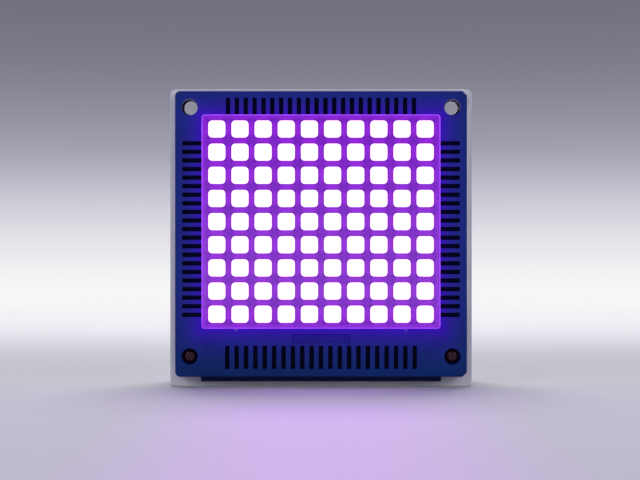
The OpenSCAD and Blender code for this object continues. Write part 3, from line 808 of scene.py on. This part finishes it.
FINISH_OF = {
    "led_row_": "led_package",
    "circuit_board": "circuit_board",
    "column_driver": "column_driver",
    "row_driver": "column_driver",
    "resistors": "column_driver",
    "ceramic_capacitors": "ceramic",
    "electrolytic_capacitor": "electrolytic",
    "connector_shroud": "shroud",
    "connector_pins": "pins",
    "board_screws": "board_screws",
}
for name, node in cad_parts.items():
    for start, finish in FINISH_OF.items():
        if name.startswith(start):
            for material_slot in node.material_slots:
                material_slot.link = "OBJECT"
                material_slot.material = ELECTRONICS[finish]
            print(name, "gets", finish)

# %% [markdown]
# ## Studio
# A round pale studio shows the module from every side: a floor disc that rises into a
# wall. The wall is brightest at the floor and fades to grey higher up, which is only
# a backdrop for the camera and for reflections, so it is painted with a Light Path
# trick and adds no light. The floor keeps the real shadow.


# %% Backdrop materials
def seen_only(tree):
    """1 for the rays that show a backdrop: the camera's, mirrors' and glass's."""
    paths = tree.nodes.new("ShaderNodeLightPath").outputs
    seen = calc(tree, "MAXIMUM", paths["Is Camera Ray"], paths["Is Glossy Ray"])
    return calc(tree, "MAXIMUM", seen, paths["Is Transmission Ray"])


def shades(tree, value, *stops):
    """A colour that changes along a value: each stop is the value and its colour."""
    low, high = stops[0][0], stops[-1][0]
    ramp = tree.nodes.new("ShaderNodeValToRGB")
    ramp.color_ramp.interpolation = "B_SPLINE"
    for _ in stops[2:]:
        ramp.color_ramp.elements.new(0.5)
    for element, (at, colour) in zip(ramp.color_ramp.elements, stops):
        element.position, element.color = (at - low) / (high - low), (*colour, 1)
    node = tree.nodes.new("ShaderNodeMapRange")
    for amount, socket in zip((value, low, high, 0.0, 1.0), node.inputs):
        feed(tree, amount, socket)
    tree.links.new(node.outputs[0], ramp.inputs[0])
    return ramp.outputs[0]


SKY_TOP = (0.159, 0.156, 0.202)


def studio_paint():
    material, tree, shader = new_finish("studio_paint", 0.9)
    shader.inputs["Specular IOR Level"].default_value = 0.0
    x, depth, z = place(tree)
    squares = [calc(tree, "MULTIPLY", length, length) for length in (x, depth)]
    radius = calc(tree, "SQRT", calc(tree, "ADD", *squares))
    # The floor's colour is graded with depth, lilac in front and lighter towards the back:
    # painted light, the dots' violet spill in front and brighter light behind the module.
    floor = shades(
        tree,
        depth,
        (-300.0, (0.62, 0.575, 0.72)),
        (-60.0, (0.62, 0.60, 0.67)),
        (60.0, (0.62, 0.615, 0.65)),
        (150.0, (0.62, 0.615, 0.64)),
        (250.0, (0.70, 0.695, 0.72)),
        (400.0, (0.86, 0.85, 0.88)),
    )
    # A lilac patch on the floor right in front of the module is a painted pool of the dots'
    # light.
    beside = ease(tree, calc(tree, "ABSOLUTE", x), 62.0, 8.0)
    painted_light_pool = calc(tree, "MULTIPLY", beside, ease(tree, depth, -35.0, -95.0))
    lilac = blend(tree, painted_light_pool, floor, (0.75, 0.56, 0.93))
    feed(tree, lilac, shader.inputs["Base Color"])
    wall = shades(
        tree,
        z,
        (0.0, (0.947, 0.947, 0.947)),
        (43.0, (0.80, 0.80, 0.84)),
        (92.0, (0.57, 0.565, 0.65)),
        (137.0, (0.35, 0.345, 0.42)),
        (206.0, (0.215, 0.212, 0.27)),
        (280.0, SKY_TOP),
    )
    painted = tree.nodes.new("ShaderNodeEmission")
    feed(tree, wall, painted.inputs[0])
    unseen = tree.nodes.new("ShaderNodeBsdfDiffuse")
    unseen.inputs[0].default_value = (0.5, 0.5, 0.52, 1)
    backdrop = tree.nodes.new("ShaderNodeMixShader")
    feed(tree, seen_only(tree), backdrop.inputs[0])
    tree.links.new(unseen.outputs[0], backdrop.inputs[1])
    tree.links.new(painted.outputs[0], backdrop.inputs[2])
    whole = tree.nodes.new("ShaderNodeMixShader")
    feed(tree, ease(tree, radius, 300.0, 900.0), whole.inputs[0])
    tree.links.new(shader.outputs[0], whole.inputs[1])
    tree.links.new(backdrop.outputs[0], whole.inputs[2])
    tree.links.new(whole.outputs[0], tree.nodes["Material Output"].inputs[0])
    return material


# %% Floor disc and wall
STUDIO_RADIUS, STUDIO_WALL = 1.2, 0.5  # metres
deselect()
bpy.ops.mesh.primitive_circle_add(vertices=96, radius=STUDIO_RADIUS, fill_type="NGON")
studio = bpy.context.object
studio.name = "studio_sweep"
bpy.ops.object.mode_set(mode="EDIT")
bpy.ops.mesh.select_all(action="SELECT")
bpy.ops.mesh.inset(thickness=0.001)
bpy.ops.object.mode_set(mode="OBJECT")
outside = STUDIO_RADIUS - 0.0005
for face in studio.data.polygons:
    face.select = False
for edge in studio.data.edges:
    ends = [studio.data.vertices[i].co.xy.length for i in edge.vertices]
    edge.select = min(ends) > outside
for vertex in studio.data.vertices:
    vertex.select = vertex.co.xy.length > outside
bpy.ops.object.mode_set(mode="EDIT")
bpy.ops.mesh.select_mode(type="EDGE")
bpy.ops.mesh.extrude_edges_move(TRANSFORM_OT_translate={"value": (0, 0, STUDIO_WALL)})
bpy.ops.object.mode_set(mode="OBJECT")
bpy.ops.object.shade_smooth_by_angle(angle=math.radians(30))
studio.data.materials.append(studio_paint())

# %% [markdown]
# ## Light and camera
# One broad lamp hangs over the module and a little behind it, so that its soft shadow
# falls forward, and two weaker ones fill the face. A dim grey world lifts the rest. The
# camera looks level at the face from 60 cm with a long lens.


# %% Lamps, world and camera
def softbox(name, location, size, watts):
    """A square lamp that faces the module."""
    deselect()
    bpy.ops.object.light_add(type="AREA", location=location)
    lamp = bpy.context.object
    lamp.name = name
    lamp.data.size, lamp.data.energy = size, watts
    aim = Vector((0, 0, 0.05)) - Vector(location)
    lamp.rotation_euler = aim.to_track_quat("-Z", "Y").to_euler()
    lamp.visible_camera = False
    return lamp


softbox("top_lamp", (0, 0.7, 1.2), 0.9, 14.5)
softbox("face_lamp", (-0.72, -0.95, 0.35), 0.8, 7.5)
softbox("side_lamp", (0.8, -0.85, 0.3), 0.8, 4.5)

world = bpy.data.worlds.new("studio_air")
bpy.context.scene.world = world
world.use_nodes = True
world.node_tree.nodes["Background"].inputs[0].default_value = (*SKY_TOP, 1)

CAMERA_AT = (-0.00033, -0.6156, 0.0484)  # metres
bpy.ops.object.camera_add(location=CAMERA_AT, rotation=(math.pi / 2, 0, 0))
camera = bpy.context.object
camera.name = "camera"
camera.data.sensor_width, camera.data.lens = 36.0, 102.7
camera.data.clip_start, camera.data.clip_end = 0.01, 20
scene = bpy.context.scene
scene.camera = camera
scene.view_settings.view_transform = "Standard"
